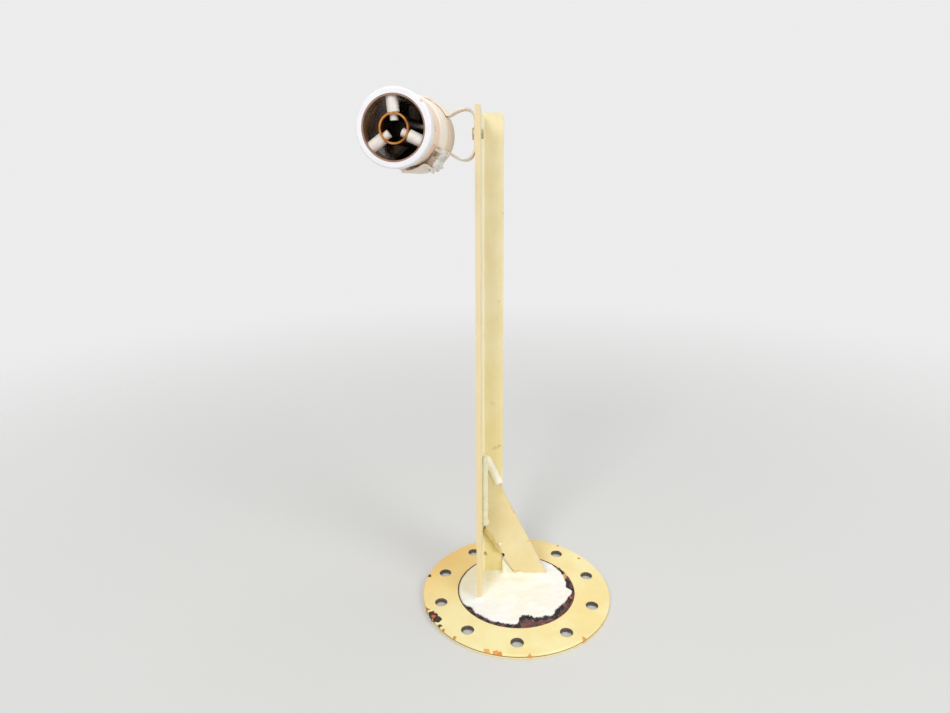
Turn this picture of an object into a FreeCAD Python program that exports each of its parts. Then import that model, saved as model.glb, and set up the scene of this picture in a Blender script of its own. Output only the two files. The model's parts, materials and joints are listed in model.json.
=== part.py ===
import FreeCAD, Part

import math
import os

from FreeCAD import Placement, Rotation, Vector

# Fuel quantity probe: a short capacitance probe strapped to a raked post
# that stands on a bolted round flange. Millimetres, +Z up, the origin at
# the bolt circle's centre on the flange's lower face, -Y towards the front.

# Flange: two thin discs, sealed to each other, with one ring of holes
flange_d = 95.25
hole_circle_d = 79.0
hole_count = 10
hole_d = 6.0
first_hole_deg = -90.0
window_d = 60.1
plate_t = 1.1
ring_t = 1.2
edge_break = 0.25

# Sealant in the window: a dark bond ring under a thick white coat
bond_width = 4.5
bond_t = 0.9
bond_clear = 0.1
coat_r = 29.4
coat_t = 1.5
tear_start_deg = -96.0
tear_end_deg = 12.0
tear_depths = (1.6, 7.6, 5.4, 2.6, 4.4, 2.4, 0.9, 3.2)

# Angle post, raked back from the flange's normal
post_x = -19.85
post_y = -10.02
post_deep = 25.4
post_wide = 12.7
post_t = 2.4
post_root_r = 1.6
post_tip_r = 0.7
post_corner_r = 1.8
post_len = 237.7
post_rake_deg = 5.2

# Gusset plate in front of the post's narrow leg
gusset_t = 1.6
gusset_height = 72.0
gusset_foot = 38.6
gusset_cut_height = 30.5
gusset_cut_foot = 22.5

# Runs of sealant on the gusset and the post
top_bead_r = 2.1
corner_bead_r = 2.0
corner_bead_in = 0.9
corner_bead_sink = 0.5
corner_bead_low = 34.0
corner_blob_r = 2.9
edge_bead_r = 1.6
wedge_t = 3.2
wedge_height = 12.2

# Probe: its mouth's place from the pad on the post, and its aim
mouth_out = 30.8
mouth_ahead = 30.5536
mouth_drop = 0.21576
probe_yaw_deg = 5.6
probe_dip_deg = 1.8

# Sleeve round the electrodes
sleeve_d = 31.75
sleeve_len = 50.8
collar_drop = 0.475
collar_len = 5.0
neck_drop = 0.875
neck_end = 20.3
neck_flare = 0.6
mouth_round = 0.7
rear_round = 0.6
body_drop = 0.275
seat_lead = 1.4

# Electrodes: two thin tubes on one axis
outer_bore_d = 24.6
outer_wall = 0.55
outer_recess = 0.3
inner_d = 12.2
inner_wall = 0.75
inner_recess = 0.8
inner_cap_gap = 1.0
liner_clear = 0.1
fit_gap = 0.05

# Stepped pins that hold the inner tube
pin_count = 3
pin_first_deg = 95.0
pin_shoulder_d = 4.9
pin_stem_d = 3.4
pin_tip = 3.0
pin_bite = 1.3
pin_front = 3.6
pin_rear = 41.0
pin_clear = 0.1

# Rear cap with its vents and terminals
cap_t = 2.4
cap_lip = 1.4
vent_d = 4.2
vent_count = 3
vent_first_deg = 45.0
vent_circle_d = 19.0
terminal_d = 3.0
terminal_len = 9.0
terminal_collar_d = 5.0
terminal_collar_t = 1.0
terminal_pitch = 9.5
terminal_nut_af = 5.5
terminal_nut_t = 2.2

# Clamp strap: ring, arms and pad
strap_width = 7.6
strap_t = 0.8
strap_clear = 0.2
strap_start = 38.0
strap_root_deg = 31.0
strap_bend_r = 0.6
root_reach = 1.5
ear_deg = -32.0
ear_shift = -2.6
ear_over = 2.1
ear_front = 12.5
ear_tab = 9.6
ear_heel = 1.2
ear_base_deg = 34.0
arm_reach = 1.0
pad_len = 9.2
pad_drop = 10.7
upper_lead = 4.5
upper_rise = 7.8
lower_lead = 3.5
lower_drop = 7.4
arm_sections = 7

# Rivet through the pad and the post's deep leg
rivet_d = 3.0
rivet_head_d = 5.6
rivet_head_t = 0.9
rivet_round = 0.72
rivet_tail_d = 4.4
rivet_tail_t = 1.0
rivet_clear = 0.05

# Screw that draws the strap's two ears together
screw_d = 2.8
screw_clear = 0.1
screw_stand = 2.325
screw_head_d = 5.0
screw_head_t = 1.0
screw_tail = 1.4
nut_af = 5.56
nut_t = 4.2
spacer_d = 4.4
spacer_t = 2.4

ring_top = plate_t + ring_t
sleeve_r = sleeve_d / 2
collar_r = sleeve_r - collar_drop
neck_r = sleeve_r - neck_drop
body_r = sleeve_r - body_drop
sleeve_bore_r = outer_bore_d / 2 + outer_wall + liner_clear
strap_in = sleeve_r + strap_clear
strap_mid = strap_in + strap_t / 2
strap_out = strap_in + strap_t
strap_end = strap_start + strap_width
seat_start = strap_start - seat_lead
ear_back = ear_front + ear_tab
ear_stand = (nut_t + spacer_t + strap_t) / 2 + fit_gap
ear_a_off = ear_shift - ear_stand
ear_b_off = ear_shift + ear_stand
screw_along = sleeve_r + screw_stand
inner_len = sleeve_len - inner_recess - cap_t - inner_cap_gap
outer_len = sleeve_len - outer_recess - cap_t

pad_height = post_len - pad_drop
pad_y = post_y + pad_height * math.sin(math.radians(post_rake_deg))
pad_z = plate_t + pad_height * math.cos(math.radians(post_rake_deg))

POST = Placement(Vector(post_x, post_y, plate_t), Rotation(Vector(1, 0, 0), -post_rake_deg))
PROBE = Placement(
    Vector(post_x - mouth_out, pad_y - mouth_ahead, pad_z - mouth_drop),
    Rotation(Vector(0, 0, 1), -probe_yaw_deg) * Rotation(Vector(1, 0, 0), -probe_dip_deg),
)


def polar(radius, degrees):
    """Return the two plane coordinates of a polar point."""
    angle = math.radians(degrees)
    return radius * math.cos(angle), radius * math.sin(angle)


def placed(shape, frame):
    """Return a copy of a shape moved from a local frame to the part's."""
    moved = shape.copy()
    moved.Placement = frame.multiply(moved.Placement)
    return moved


def disc(radius, thickness, z=0.0):
    """Return a flat disc on the flange's axis."""
    return Part.makeCylinder(radius, thickness, Vector(0, 0, z))


def bolt_holes(height):
    """Return the flange's ring of drills, as tall as asked."""
    drills = []
    for index in range(hole_count):
        x, y = polar(hole_circle_d / 2, first_hole_deg + index * 360 / hole_count)
        drills.append(Part.makeCylinder(hole_d / 2, height, Vector(x, y, 0)))
    return Part.makeCompound(drills)


def outer_rim_edges(shape, radius, z):
    """Return the full circle edges of a given radius at a given height."""
    edges = []
    for edge in shape.Edges:
        curve = edge.Curve
        if not isinstance(curve, Part.Circle):
            continue
        same_size = abs(curve.Radius - radius) < edge_break / 10
        same_height = abs(curve.Center.z - z) < edge_break / 10
        if same_size and same_height:
            edges.append(edge)
    return edges


def base_plate():
    """Return the lower disc, drilled and with its lower edge broken."""
    plate = disc(flange_d / 2, plate_t).cut(bolt_holes(plate_t))
    return plate.makeChamfer(edge_break, outer_rim_edges(plate, flange_d / 2, 0.0))


def mounting_ring():
    """Return the upper ring, with its window, holes and broken edges."""
    ring = disc(flange_d / 2, ring_t, plate_t).cut(disc(window_d / 2, ring_t, plate_t))
    ring = ring.cut(bolt_holes(ring_top))
    return ring.makeChamfer(edge_break, outer_rim_edges(ring, flange_d / 2, ring_top))


def bond_seal():
    """Return the dark sealant that lies in the window's corner."""
    outer = window_d / 2 - bond_clear
    return disc(outer, bond_t, plate_t).cut(disc(outer - bond_width, bond_t, plate_t))


def coat_outline():
    """Return the white coat's outline, round but for the torn stretch."""
    start = Vector(*polar(coat_r, tear_end_deg), 0)
    end = Vector(*polar(coat_r, tear_start_deg), 0)
    middle_deg = (tear_start_deg + tear_end_deg) / 2 + 180
    round_part = Part.Arc(start, Vector(*polar(coat_r, middle_deg), 0), end).toShape()
    step = (tear_end_deg - tear_start_deg) / (len(tear_depths) + 1)
    torn = [end]
    for index, depth in enumerate(tear_depths):
        torn.append(Vector(*polar(coat_r - depth, tear_start_deg + (index + 1) * step), 0))
    torn.append(start)
    return Part.Face(Part.Wire([round_part] + Part.makePolygon(torn).Edges))


def bond_space():
    """Return the room the bond ring takes, with clearance at its bore."""
    bore = window_d / 2 - bond_width - 2 * bond_clear
    return disc(window_d / 2, bond_t, plate_t).cut(disc(bore, bond_t, plate_t))


def seal_coat(post, gusset):
    """Return the white coat, fitted round what stands in it."""
    coat = coat_outline()
    coat.translate(Vector(0, 0, plate_t))
    coat = coat.extrude(Vector(0, 0, coat_t))
    return coat.cut(bond_space()).cut(post).cut(gusset)


def upright_edges(shape, places):
    """Return a straight prism's upright edges at the places named."""
    edges = []
    for edge in shape.Edges:
        box = edge.BoundBox
        if box.ZLength < post_len / 2:
            continue
        if any(math.hypot(box.XMin - x, box.YMin - y) < fit_gap for x, y in places):
            edges.append(edge)
    return edges


def angle_stock(overrun):
    """Return the straight angle, with its root fillet and round tips."""
    root = post_deep - post_t
    length = post_len + overrun
    deep_leg = Part.makeBox(post_t, post_deep, length, Vector(0, 0, -overrun))
    wide_leg = Part.makeBox(post_wide, post_t, length, Vector(0, root, -overrun))
    stock = deep_leg.fuse(wide_leg).removeSplitter()
    stock = stock.makeFillet(post_root_r, upright_edges(stock, [(post_t, root)]))
    return stock.makeFillet(post_tip_r, upright_edges(stock, [(post_t, 0), (post_wide, root)]))


def above_plate():
    """Return the space above the base plate's face."""
    size = 2 * post_len
    return Part.makeBox(size, size, size, Vector(-size / 2, -size / 2, plate_t))


def rivet_axis_hole(radius):
    """Return the rivet's bore across the pad and the deep leg."""
    reach = strap_t + post_t + rivet_tail_t + rivet_head_t
    base = Vector(-strap_t - rivet_head_t, post_deep / 2, pad_height)
    return Part.makeCylinder(radius, reach, base, Vector(1, 0, 0))


def post_corner_cut():
    """Return what rounds the narrow leg's free top corner."""
    radius = post_corner_r
    size = Vector(post_wide - radius, 0, post_len - radius)
    block = Part.makeBox(radius, post_t, radius, Vector(size.x, post_deep - post_t, size.z))
    pin = Part.makeCylinder(radius, post_t, Vector(size.x, post_deep - post_t, size.z), Vector(0, 1, 0))
    return block.cut(pin)


def angle_post():
    """Return the raked angle, cut off flush with the plate below it."""
    post = angle_stock(post_deep).cut(post_corner_cut())
    post = post.cut(rivet_axis_hole(rivet_d / 2 + rivet_clear))
    return placed(post, POST).common(above_plate())


def gusset_front():
    """Return how far back the gusset's front face lies in the post's frame."""
    return post_deep - post_t - gusset_t


def gusset_slope():
    """Return the sloping edge's run for each millimetre of height."""
    return (gusset_foot - post_t) / gusset_height


def gusset_plate(post):
    """Return the gusset: a triangle with its lower inner corner cut off."""
    overrun = post_deep
    x = post_t + post_root_r
    y = gusset_front()
    run = gusset_slope()
    cut_run = (gusset_cut_foot - post_t) / gusset_cut_height
    outline = [
        Vector(x, y, edge_height(x)),
        Vector(gusset_foot + run * overrun, y, -overrun),
        Vector(gusset_cut_foot + cut_run * overrun, y, -overrun),
        Vector(x, y, cut_edge_height(x)),
        Vector(x, y, edge_height(x)),
    ]
    plate = Part.Face(Part.makePolygon(outline)).extrude(Vector(0, gusset_t, 0))
    return placed(plate, POST).common(above_plate()).cut(post)


def capsule(start, end, radius):
    """Return a round bar with ball ends between two points."""
    axis = end - start
    bar = Part.makeCylinder(radius, axis.Length, start, axis)
    ends = [Part.makeSphere(radius, start), Part.makeSphere(radius, end)]
    return bar.multiFuse(ends).removeSplitter()


def edge_height(x):
    """Return the sloping edge's height above the foot at a place x."""
    return gusset_height - (x - post_t) / gusset_slope()


def top_bead(post, gusset):
    """Return the thick run of sealant along the gusset's upper edge."""
    y = gusset_front() + gusset_t / 2
    first = post_t + top_bead_r
    last = post_wide - top_bead_r
    start = Vector(first, y, edge_height(first))
    end = Vector(last, y, edge_height(last))
    bead = placed(capsule(start, end, top_bead_r), POST)
    return largest(bead.cut(post).cut(gusset))


def corner_bead(post, gusset, neighbour):
    """Return the run in the inner corner, with the blob at its low end."""
    x = post_t + corner_bead_in
    y = gusset_front() - corner_bead_sink
    low = Vector(x, y, corner_bead_low)
    high = Vector(x, y, gusset_height - 2 * top_bead_r)
    blob = Part.makeSphere(corner_blob_r, low + Vector(0, corner_bead_r / 2, 0))
    bead = placed(capsule(low, high, corner_bead_r).fuse(blob), POST)
    return largest(bead.cut(post).cut(gusset).cut(neighbour))


def cut_edge_height(x):
    """Return the height of the gusset's cut corner at a place x."""
    return gusset_cut_height * (gusset_cut_foot - x) / (gusset_cut_foot - post_t)


def edge_bead(post, gusset, neighbour):
    """Return the run along the gusset's cut corner."""
    y = gusset_front() + gusset_t / 2
    first = post_t + edge_bead_r
    last = post_wide - edge_bead_r
    start = Vector(first, y, cut_edge_height(first))
    end = Vector(last, y, cut_edge_height(last))
    bead = placed(capsule(start, end, edge_bead_r), POST)
    return largest(bead.cut(post).cut(gusset).cut(neighbour))


def foot_wedge(post, gusset, coat, neighbour):
    """Return the sealant that fills the gap beside the cut corner."""
    overrun = ring_t + coat_t
    y = post_deep - post_t - (wedge_t + gusset_t) / 2
    outline = [
        Vector(post_wide, y, wedge_height),
        Vector(gusset_cut_foot, y, 0),
        Vector(gusset_cut_foot, y, -overrun),
        Vector(post_wide, y, -overrun),
        Vector(post_wide, y, wedge_height),
    ]
    wedge = Part.Face(Part.makePolygon(outline)).extrude(Vector(0, wedge_t, 0))
    wedge = placed(wedge, POST).common(above_plate())
    return largest(wedge.cut(post).cut(gusset).cut(coat).cut(neighbour))


def largest(shape):
    """Return the biggest solid of a cut shape, without its slivers."""
    return max(shape.Solids, key=lambda solid: solid.Volume)


def turned(profile):
    """Return the solid turned round the probe's axis from a profile."""
    points = [Vector(radius, along, 0) for radius, along in profile]
    face = Part.Face(Part.makePolygon(points + points[:1]))
    return face.revolve(Vector(0, 0, 0), Vector(0, 1, 0), 360)


def axis_circles(shape, radius, along):
    """Return the circle edges of a turned shape at one radius and place."""
    edges = []
    for edge in shape.Edges:
        curve = edge.Curve
        if not isinstance(curve, Part.Circle):
            continue
        same_size = abs(curve.Radius - radius) < fit_gap / 2
        same_place = abs(curve.Center.y - along) < fit_gap / 2
        if same_size and same_place:
            edges.append(edge)
    return edges


def pin_angles():
    """Return the pins' places round the axis."""
    return [pin_first_deg + index * 360 / pin_count for index in range(pin_count)]


def pin_bores(radius, inner_r, outer_r):
    """Return the drills of all the pins between two radii."""
    drills = []
    for along in (pin_front, pin_rear):
        for degrees in pin_angles():
            u, v = polar(1, degrees)
            direction = Vector(u, 0, v)
            base = direction * inner_r + Vector(0, along, 0)
            drills.append(Part.makeCylinder(radius, outer_r - inner_r, base, direction))
    return Part.makeCompound(drills)


def sleeve():
    """Return the housing: collar, neck, body, strap seat and cap seat."""
    bore = sleeve_bore_r
    profile = [
        (bore, 0),
        (collar_r, 0),
        (collar_r, collar_len),
        (neck_r, collar_len),
        (neck_r, neck_end - neck_flare),
        (body_r, neck_end),
        (body_r, seat_start),
        (sleeve_r, seat_start),
        (sleeve_r, sleeve_len),
        (bore + cap_lip, sleeve_len),
        (bore + cap_lip, sleeve_len - cap_t),
        (bore, sleeve_len - cap_t),
    ]
    body = turned(profile)
    body = body.makeFillet(mouth_round, axis_circles(body, collar_r, 0))
    body = body.makeFillet(rear_round, axis_circles(body, sleeve_r, sleeve_len))
    return body.cut(pin_bores(pin_stem_d / 2 + pin_clear, bore - pin_bite, bore + pin_bite))


def outer_electrode():
    """Return the liner tube, with its holes for the pins' stems."""
    bore = outer_bore_d / 2
    end = outer_recess + outer_len
    wall = bore + outer_wall
    tube = turned([(bore, outer_recess), (wall, outer_recess), (wall, end), (bore, end)])
    return tube.cut(pin_bores(pin_stem_d / 2 + pin_clear, bore - outer_wall, wall + outer_wall))


def inner_electrode():
    """Return the inner tube, with its holes for the pins' tips."""
    outside = inner_d / 2
    bore = outside - inner_wall
    end = inner_recess + inner_len
    tube = turned([(bore, inner_recess), (outside, inner_recess), (outside, end), (bore, end)])
    return tube.cut(pin_bores(pin_stem_d / 2 + pin_clear, bore - inner_wall, outside + inner_wall))


def stepped_pin(along, degrees):
    """Return one pin: stem in the sleeve, shoulder between the tubes, tip."""
    stem_end = sleeve_bore_r + pin_bite - pin_clear
    shoulder_out = outer_bore_d / 2 - fit_gap
    shoulder_in = inner_d / 2 + fit_gap
    tip_end = inner_d / 2 - pin_tip
    u, v = polar(1, degrees)
    direction = Vector(u, 0, v)
    centre = Vector(0, along, 0)
    length = stem_end - tip_end
    stem = Part.makeCylinder(pin_stem_d / 2, length, centre + direction * tip_end, direction)
    body = Part.makeCylinder(
        pin_shoulder_d / 2, shoulder_out - shoulder_in, centre + direction * shoulder_in, direction
    )
    bore = Part.makeCylinder(outer_bore_d / 2 - fit_gap, sleeve_len, Vector(0, 0, 0), Vector(0, 1, 0))
    tube = Part.makeCylinder(inner_d / 2 + fit_gap, sleeve_len, Vector(0, 0, 0), Vector(0, 1, 0))
    return stem.fuse(body.common(bore).cut(tube)).removeSplitter()


def terminal_places():
    """Return where the two terminals go through the cap."""
    return [Vector(-terminal_pitch / 2, 0, 0), Vector(terminal_pitch / 2, 0, 0)]


def rear_cap():
    """Return the cap in the sleeve's rear seat, vented and drilled."""
    radius = sleeve_bore_r + cap_lip - fit_gap
    start = Vector(0, sleeve_len - cap_t, 0)
    cap = Part.makeCylinder(radius, cap_t, start, Vector(0, 1, 0))
    for index in range(vent_count):
        u, v = polar(vent_circle_d / 2, vent_first_deg + index * 360 / vent_count)
        cap = cap.cut(Part.makeCylinder(vent_d / 2, cap_t, start + Vector(u, 0, v), Vector(0, 1, 0)))
    for place in terminal_places():
        bore = Part.makeCylinder(terminal_d / 2 + fit_gap, cap_t, start + place, Vector(0, 1, 0))
        cap = cap.cut(bore)
    return cap


def terminal_stud(place):
    """Return one stud: its collar lies on the cap's inner face."""
    face = Vector(0, sleeve_len - cap_t, 0) + place
    back = face - Vector(0, terminal_collar_t, 0)
    shank = Part.makeCylinder(terminal_d / 2, terminal_len, back, Vector(0, 1, 0))
    collar = Part.makeCylinder(terminal_collar_d / 2, terminal_collar_t, back, Vector(0, 1, 0))
    return shank.fuse(collar).removeSplitter()


def hexagon(across_flats, thickness, bore_r):
    """Return a nut on the local Z axis, with both its rims broken."""
    corner = across_flats / math.sqrt(3)
    points = [Vector(*polar(corner, 60 * index + 30), 0) for index in range(7)]
    body = Part.Face(Part.makePolygon(points)).extrude(Vector(0, 0, thickness))
    break_size = corner - across_flats / 2
    low = Part.makeCone(across_flats / 2, corner, break_size)
    middle = Part.makeCylinder(corner, thickness - 2 * break_size, Vector(0, 0, break_size))
    high = Part.makeCone(corner, across_flats / 2, break_size, Vector(0, 0, thickness - break_size))
    body = body.common(low.multiFuse([middle, high]).removeSplitter())
    return body.cut(Part.makeCylinder(bore_r, thickness))


def terminal_nut(place):
    """Return one terminal's nut, tight on the cap's rear face."""
    nut = hexagon(terminal_nut_af, terminal_nut_t, terminal_d / 2 + fit_gap)
    seat = Vector(0, sleeve_len, 0) + place
    return placed(nut, Placement(seat, Rotation(Vector(0, 0, 1), Vector(0, 1, 0))))


def sector(centre, inner_r, outer_r, start_deg, end_deg, near, far):
    """Return a curved stretch of strip about a centre in the probe's frame."""
    middle = (start_deg + end_deg) / 2

    def point(radius, degrees):
        u, v = polar(radius, degrees)
        return Vector(centre[0] + u, near, centre[1] + v)

    outer = Part.Arc(point(outer_r, start_deg), point(outer_r, middle), point(outer_r, end_deg))
    inner = Part.Arc(point(inner_r, end_deg), point(inner_r, middle), point(inner_r, start_deg))
    first = Part.makeLine(point(inner_r, start_deg), point(outer_r, start_deg))
    last = Part.makeLine(point(outer_r, end_deg), point(inner_r, end_deg))
    outline = Part.Wire([first, outer.toShape(), last, inner.toShape()])
    return Part.Face(outline).extrude(Vector(0, far - near, 0))


def strip(start, end, near, far):
    """Return a straight stretch of strip between two points of its middle."""
    along = Vector(end[0] - start[0], 0, end[1] - start[1]).normalize()
    side = Vector(-along.z, 0, along.x) * (strap_t / 2)
    first = Vector(start[0], near, start[1])
    last = Vector(end[0], near, end[1])
    corners = [first - side, last - side, last + side, first + side, first - side]
    return Part.Face(Part.makePolygon(corners)).extrude(Vector(0, far - near, 0))


def ear_plate(start, end):
    """Return an ear: full height at its front, sloping down to its heel."""
    along = Vector(end[0] - start[0], 0, end[1] - start[1])
    side = Vector(-along.z, 0, along.x).normalize() * strap_t
    base = Vector(start[0], 0, start[1]) - side / 2
    heel = base + Vector(along).normalize() * ear_heel
    corners = [
        base + Vector(0, ear_front, 0),
        base + along + Vector(0, ear_front, 0),
        base + along + Vector(0, ear_back, 0),
        heel + Vector(0, strap_start, 0),
        heel + Vector(0, strap_end, 0),
        base + Vector(0, strap_end, 0),
    ]
    return Part.Face(Part.makePolygon(corners + corners[:1])).extrude(side)


def root_line():
    """Return where the upper arm's straight root starts and ends."""
    bend = strap_bend_r + strap_t / 2
    u, v = polar(1, strap_root_deg)
    centre_r = strap_mid + bend
    start = (centre_r * u + bend * v, centre_r * v - bend * u)
    end = (start[0] + root_reach * u, start[1] + root_reach * v)
    return start, end


def clamp_point(along, across):
    """Return a point by its distances along and across the ears' middle."""
    u, v = polar(1, ear_deg)
    return along * u - across * v, along * v + across * u


def ring_end_deg():
    """Return where the strap's ring ends and ear A's bend begins."""
    bend = strap_bend_r + strap_t / 2
    return ear_deg + math.degrees(math.asin((ear_a_off - bend) / (strap_mid + bend)))


def ear_a_line():
    """Return the middle line of the ear that is bent out of the ring."""
    bend = strap_bend_r + strap_t / 2
    turn = math.radians(ring_end_deg() - ear_deg)
    foot = (strap_mid + bend) * math.cos(turn)
    return clamp_point(foot, ear_a_off), clamp_point(screw_along + ear_over, ear_a_off)


def ear_b_line(reach):
    """Return the middle line of the ear that ends the lower arm."""
    foot = math.sqrt(strap_in ** 2 - (ear_b_off - strap_t / 2) ** 2)
    return clamp_point(foot, ear_b_off), clamp_point(screw_along + ear_over + reach, ear_b_off)


def pad_corners(height):
    """Return the pad's front and rear middle points at one height."""
    near = (post_deep - strap_width) / 2
    far = near + strap_width
    x = -strap_t / 2
    return POST.multVec(Vector(x, near, height)), POST.multVec(Vector(x, far, height))


def probe_corners(point):
    """Return the strip's front and rear middle points on the probe."""
    near = PROBE.multVec(Vector(point[0], strap_start, point[1]))
    far = PROBE.multVec(Vector(point[0], strap_end, point[1]))
    return near, far


def bezier(points, t):
    """Return a cubic curve's point and direction at t."""
    a, b, c, d = points
    s = 1 - t
    point = a * s ** 3 + b * (3 * s * s * t) + c * (3 * s * t * t) + d * t ** 3
    slope = (b - a) * (3 * s * s) + (c - b) * (6 * s * t) + (d - c) * (3 * t * t)
    return point, slope


def arm_section(near_path, far_path, t):
    """Return the arm's section, square to its middle line, at t."""
    near, near_slope = bezier(near_path, t)
    far, far_slope = bezier(far_path, t)
    normal = (near_slope + far_slope).cross(far - near).normalize() * (strap_t / 2)
    corners = [near - normal, far - normal, far + normal, near + normal, near - normal]
    return Part.makePolygon(corners)


def arm(root, lead, pad_edge, lift):
    """Return one arm, from its root on the probe to the pad's edge."""
    start, end = root
    reach = math.hypot(end[0] - start[0], end[1] - start[1])
    out = ((end[0] - start[0]) / reach, (end[1] - start[1]) / reach)
    led = (end[0] + out[0] * lead, end[1] + out[1] * lead)
    paths = []
    for index in (0, 1):
        path = [
            probe_corners(end)[index],
            probe_corners(led)[index],
            pad_corners(pad_edge + lift)[index],
            pad_corners(pad_edge)[index],
        ]
        paths.append(path)
    steps = [step / (arm_sections - 1) for step in range(arm_sections)]
    sections = [arm_section(paths[0], paths[1], t) for t in steps]
    return Part.makeLoft(sections, True, False)


def strap_pad():
    """Return the flat pad on the post, drilled for the rivet."""
    near = (post_deep - strap_width) / 2
    corner = Vector(-strap_t, near, pad_height - pad_len / 2)
    pad = Part.makeBox(strap_t, strap_width, pad_len, corner)
    return placed(pad.cut(rivet_axis_hole(rivet_d / 2 + rivet_clear)), POST)


def bend_sector(degrees, start_deg, end_deg, near):
    """Return one outward bend of the strap at a place on its ring."""
    centre = polar(strap_in + strap_t + strap_bend_r, degrees)
    outer_r = strap_bend_r + strap_t
    return sector(centre, strap_bend_r, outer_r, start_deg, end_deg, near, strap_end)


def ring_pieces():
    """Return the strap's ring with both its bends and its wide ear base."""
    end = ring_end_deg()
    base = end + 360 - ear_base_deg
    return [
        sector((0, 0), strap_in, strap_out, strap_root_deg, base, strap_start, strap_end),
        sector((0, 0), strap_in, strap_out, base, end + 360, ear_front, strap_end),
        bend_sector(strap_root_deg, strap_root_deg + 180, strap_root_deg + 270, strap_start),
        bend_sector(end, ear_deg + 90, end + 180, ear_front),
    ]


def clamp_strap():
    """Return the whole strap: ring, ears, arms and pad in one piece."""
    upper_root = root_line()
    lower_root = ear_b_line(arm_reach)
    pieces = ring_pieces() + [
        strip(*upper_root, strap_start, strap_end),
        ear_plate(*ear_a_line()),
        ear_plate(*ear_b_line(0)),
        strip(*lower_root, strap_start, strap_end),
    ]
    band = pieces[0].multiFuse(pieces[1:]).cut(screw_bore())
    arms = [
        arm(upper_root, upper_lead, pad_height + pad_len / 2, upper_rise),
        arm(lower_root, lower_lead, pad_height - pad_len / 2, -lower_drop),
    ]
    whole = placed(band, PROBE).multiFuse(arms + [strap_pad()])
    return largest(whole.removeSplitter())


def screw_frame():
    """Return the clamp screw's frame: its Z runs from ear A to ear B."""
    u, v = clamp_point(screw_along, ear_a_off + strap_t / 2 + fit_gap)
    axis = clamp_point(0, 1)
    start = Vector(u, ear_front + ear_tab / 2, v)
    return Placement(start, Rotation(Vector(0, 0, 1), Vector(axis[0], 0, axis[1])))


def screw_bore():
    """Return the bore through both ears for the clamp screw."""
    reach = 2 * strap_t
    span = 2 * ear_stand + 2 * reach
    bore = Part.makeCylinder(screw_d / 2 + screw_clear, span, Vector(0, 0, -reach))
    return placed(bore, screw_frame())


def clamp_screw():
    """Return the screw: a thin round head on ear B, its end below ear A."""
    foot = strap_t + screw_tail
    seat = nut_t + spacer_t + strap_t + fit_gap
    shank = Part.makeCylinder(screw_d / 2, foot + seat, Vector(0, 0, -foot))
    head = Part.makeCylinder(screw_head_d / 2, screw_head_t, Vector(0, 0, seat))
    screw = shank.fuse(head).removeSplitter()
    return placed(placed(screw, screw_frame()), PROBE)


def clamp_nut():
    """Return the tall nut that stands on ear A's inner side."""
    nut = hexagon(nut_af, nut_t, screw_d / 2 + fit_gap)
    return placed(placed(nut, screw_frame()), PROBE)


def clamp_spacer():
    """Return the short tube between the nut and ear B."""
    spacer = Part.makeCylinder(spacer_d / 2, spacer_t)
    spacer = spacer.cut(Part.makeCylinder(screw_d / 2 + fit_gap, spacer_t))
    spacer.translate(Vector(0, 0, nut_t))
    return placed(placed(spacer, screw_frame()), PROBE)


def strap_rivet():
    """Return the rivet: low head on the pad, flat tail inside the leg."""
    outward = Vector(-1, 0, 0)
    inward = Vector(1, 0, 0)
    on_pad = Vector(-strap_t, post_deep / 2, pad_height)
    in_leg = Vector(post_t, post_deep / 2, pad_height)
    shank = Part.makeCylinder(rivet_d / 2, strap_t + post_t, on_pad, inward)
    head = Part.makeCylinder(rivet_head_d / 2, rivet_head_t, on_pad, outward)
    rim = [edge for edge in head.Edges if abs(edge.BoundBox.XMax + strap_t + rivet_head_t) < fit_gap]
    head = head.makeFillet(rivet_round, rim)
    tail = Part.makeCylinder(rivet_tail_d / 2, rivet_tail_t, in_leg, inward)
    return placed(shank.multiFuse([head, tail]).removeSplitter(), POST)


def flange_parts():
    """Return the flange, post, gusset and sealant by node name."""
    post = angle_post()
    gusset = gusset_plate(post)
    coat = seal_coat(post, gusset)
    top = top_bead(post, gusset)
    corner = corner_bead(post, gusset, top)
    edge = edge_bead(post, gusset, corner)
    return {
        "base_plate": base_plate(),
        "mounting_ring": mounting_ring(),
        "bond_seal": bond_seal(),
        "seal_coat": largest(coat),
        "angle_post": post,
        "gusset_plate": gusset,
        "gusset_top_bead": top,
        "gusset_corner_bead": corner,
        "gusset_edge_bead": edge,
        "foot_wedge": foot_wedge(post, gusset, coat, edge),
    }


def probe_parts():
    """Return the probe's own pieces by node name."""
    parts = {
        "sleeve": sleeve(),
        "outer_electrode": outer_electrode(),
        "inner_electrode": inner_electrode(),
        "rear_cap": rear_cap(),
    }
    for row, along in (("front", pin_front), ("rear", pin_rear)):
        for index, degrees in enumerate(pin_angles()):
            parts[f"{row}_pin_{index + 1}"] = stepped_pin(along, degrees)
    for index, place in enumerate(terminal_places()):
        parts[f"terminal_stud_{index + 1}"] = terminal_stud(place)
        parts[f"terminal_nut_{index + 1}"] = terminal_nut(place)
    return {name: placed(shape, PROBE) for name, shape in parts.items()}


def clamp_parts():
    """Return the strap and its fasteners by node name."""
    return {
        "clamp_strap": clamp_strap(),
        "clamp_screw": clamp_screw(),
        "clamp_nut": clamp_nut(),
        "clamp_spacer": clamp_spacer(),
        "strap_rivet": strap_rivet(),
    }


def main():
    """Write each piece to its own file."""
    os.makedirs("parts", exist_ok=True)
    nodes = {**flange_parts(), **probe_parts(), **clamp_parts()}
    for name, shape in nodes.items():
        shape.exportStep(f"parts/{name}.step")


main()
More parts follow.
